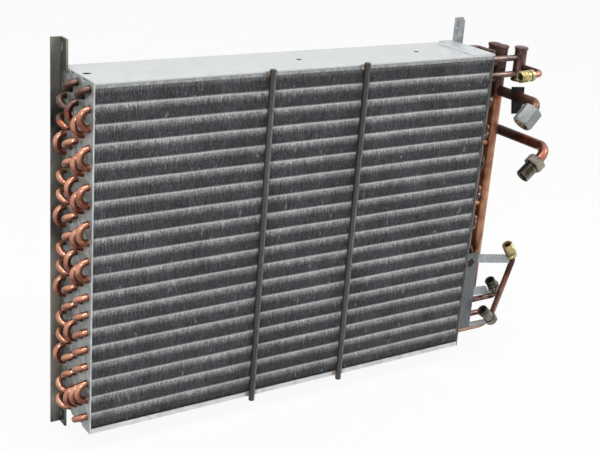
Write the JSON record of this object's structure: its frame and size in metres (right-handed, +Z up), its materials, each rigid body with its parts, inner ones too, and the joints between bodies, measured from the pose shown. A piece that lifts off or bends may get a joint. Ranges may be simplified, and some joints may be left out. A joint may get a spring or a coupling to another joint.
{
  "type": "condenser and oil cooler module",
  "caption": "Finned tube heat exchanger in a sheet metal casing, with return bends, headers, brazed pipe ends with nuts and fittings, and slotted mounting angles.",
  "frame": {"origin": "centre between the two slots of the left mounting bracket, on the outer face of its side leg", "axes": "+X along the coil towards the pipe end, +Y from the front face to the back, +Z up"},
  "size_m": [0.7595, 0.192, 0.5548],
  "materials": {
    "fins": "bare rolled fin stock, dull",
    "galvanised": "galvanised sheet with a faint spangle",
    "copper": "bare drawn copper, slightly tarnished",
    "scorched_copper": "copper darkened by brazing heat",
    "olive_steel": "dark passivated steel",
    "rod_steel": "zinc plated rod",
    "rusty_weld": "weld bead with light rust",
    "zinc": "zinc plated steel",
    "bronze": "dull bronze",
    "brass": "machined brass",
    "dull_steel": "phosphated steel",
    "black_steel": "black painted steel"
  },
  "bodies": {
    "root": {"fin_core": "fins", "left_tube_sheet": "galvanised", "right_tube_sheet": "galvanised", "top_channel": "galvanised", "bottom_channel": "galvanised", "left_bends_front": "copper", "left_bends_rear": "copper", "right_bends_front": "copper", "right_bends_rear": "copper", "left_mounting_bracket": "olive_steel", "right_mounting_bracket": "galvanised", "front_rod_left": "rod_steel", "front_rod_right": "rod_steel", "rod_weld_beads": "rusty_weld", "main_header": "copper", "main_header_caps": "scorched_copper", "rear_header": "copper", "rear_header_caps": "scorched_copper", "inlet_header": "scorched_copper", "inlet_header_caps": "scorched_copper", "main_feeders": "copper", "rear_feeders": "copper", "inlet_feeders": "scorched_copper", "main_cross_feeder": "scorched_copper", "rear_cross_feeder": "copper", "upper_oil_pipe": "scorched_copper", "lower_oil_pipe": "scorched_copper", "inlet_pipe": "copper", "outlet_pipe": "copper", "cooler_pipe_upper": "copper", "cooler_pipe_lower": "copper", "upper_oil_nut": "zinc", "upper_oil_sleeve": "bronze", "lower_oil_fitting": "zinc", "inlet_fitting": "brass", "outlet_fitting": "brass", "cooler_fitting_upper": "dull_steel", "cooler_fitting_lower": "dull_steel", "pipe_support": "black_steel", "strap_plate": "galvanised", "strap_arm_top": "galvanised", "strap_arm_middle": "galvanised", "strap_arm_bottom": "galvanised"}
  },
  "joints": []
}
